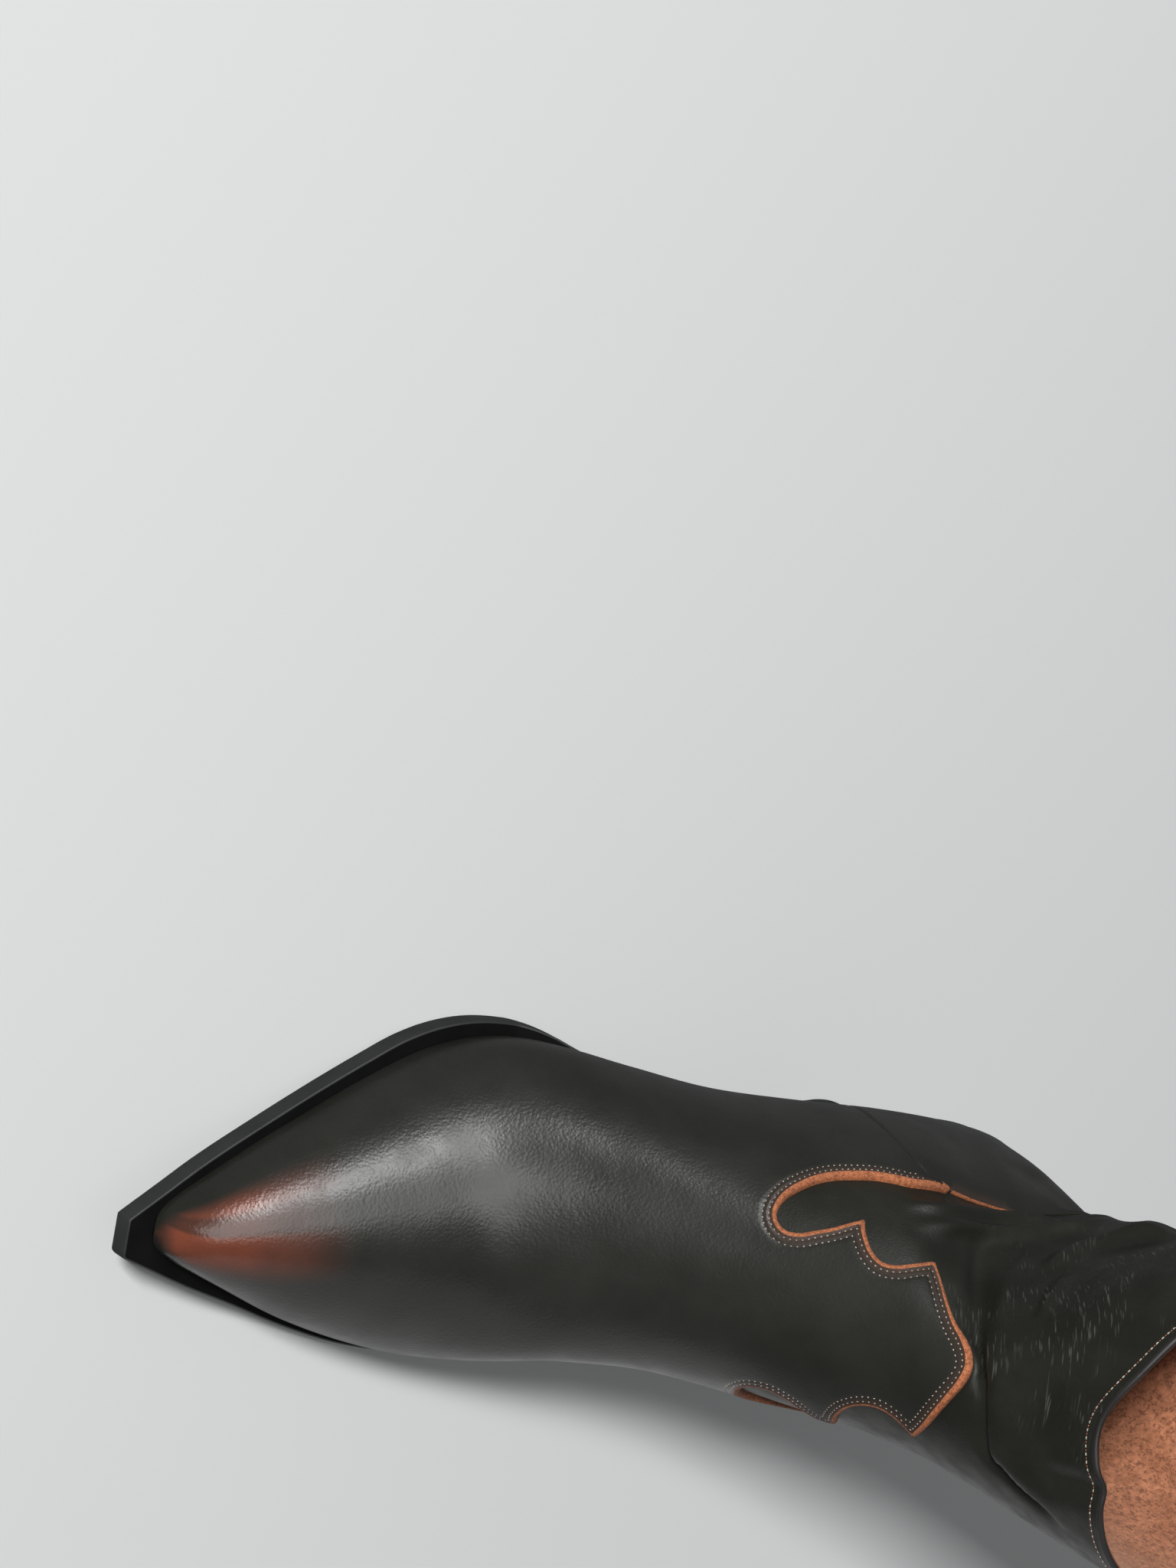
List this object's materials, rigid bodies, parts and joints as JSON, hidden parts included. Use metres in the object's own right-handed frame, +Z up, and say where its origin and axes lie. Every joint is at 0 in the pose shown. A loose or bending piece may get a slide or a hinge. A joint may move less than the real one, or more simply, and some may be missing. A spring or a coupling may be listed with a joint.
{
  "type": "heeled ankle boot",
  "caption": "Pull-on western ankle boot for the right foot, with a snipped pointed toe, a scalloped vamp over a plain shaft, a counter and a block heel.",
  "frame": {"origin": "on the floor, under the middle of the boot's box", "axes": "+X from heel to toe, +Y to the boot's left (inner) side, +Z up"},
  "size_m": [0.2878, 0.098, 0.2039],
  "materials": {
    "sole": "satin black sole edge",
    "heel": "satin black covered block",
    "lift": "matte black",
    "lining": "tan suede",
    "shaft": "soft charcoal grain",
    "vamp": "satin charcoal grain, burnished toe",
    "binding": "rolled satin edge"
  },
  "bodies": {
    "root": {"outsole": "sole", "heel": "heel", "heel_lift": "lift", "insole": "lining", "upper": "shaft", "vamp": "vamp", "counter": "vamp", "collar_binding": "binding"}
  },
  "joints": []
}
